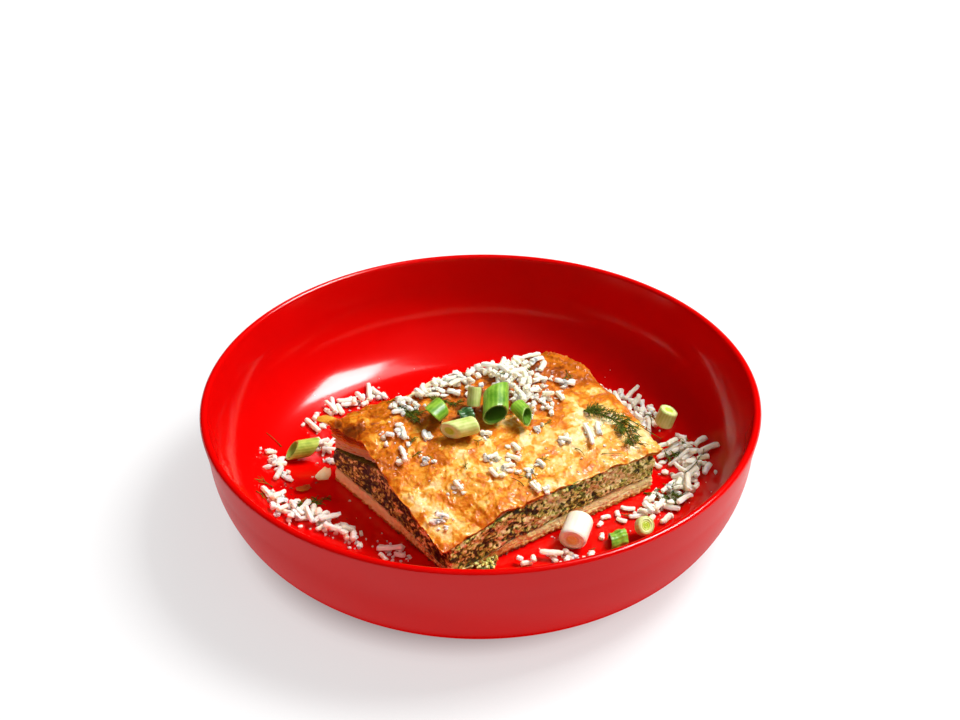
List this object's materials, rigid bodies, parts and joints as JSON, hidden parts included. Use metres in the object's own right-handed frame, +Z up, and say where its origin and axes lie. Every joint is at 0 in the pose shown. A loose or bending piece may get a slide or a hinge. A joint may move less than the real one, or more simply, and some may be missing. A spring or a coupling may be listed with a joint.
{
  "type": "slice of spanakopita in a bowl",
  "caption": "Square-cut spinach and feta pie with flaky pastry in a low round bowl, strewn with grated white cheese, spring onion and dill.",
  "frame": {"origin": "on the table under the middle of the bowl", "axes": "+Z up, -Y towards the pie's front corner, +X to the right of it"},
  "size_m": [0.23, 0.23, 0.0544],
  "materials": {
    "bowl_red": "glossy red glaze",
    "pastry_top": "baked flaky pastry, golden brown with a thin shine of butter",
    "filling": "moist dark green spinach with white cheese crumbs",
    "pastry_bottom": "pale baked leaves of pastry",
    "cheese": "soft white grated cheese",
    "onion_green": "fresh green spring onion leaf",
    "onion_pale": "pale green spring onion stem",
    "onion_white": "white spring onion stem",
    "dill": "dark green herb"
  },
  "bodies": {
    "root": {"bowl": "bowl_red", "pastry_bottom": "pastry_bottom", "filling": "filling", "pastry_top": "pastry_top", "cheese_on_pie": "cheese", "cheese_right": "cheese", "cheese_left_back": "cheese", "cheese_left": "cheese", "cheese_left_corner": "cheese", "cheese_left_front": "cheese", "cheese_front_left": "cheese", "cheese_front": "cheese", "onion_tube_large": "onion_green", "onion_tube_small": "onion_green", "onion_half_green": "onion_green", "onion_bowl_left": "onion_green", "onion_bowl_leaf": "onion_green", "onion_tube_pale": "onion_pale", "onion_slice_pale": "onion_pale", "onion_bowl_right": "onion_pale", "onion_bowl_ring": "onion_pale", "onion_bowl_white": "onion_white", "onion_leaf_dark": "dill", "dill_right": "dill", "dill_left": "dill", "dill_middle": "dill", "dill_bowl_rim": "dill", "dill_bowl_right": "dill", "dill_bowl_left": "dill"}
  },
  "joints": []
}
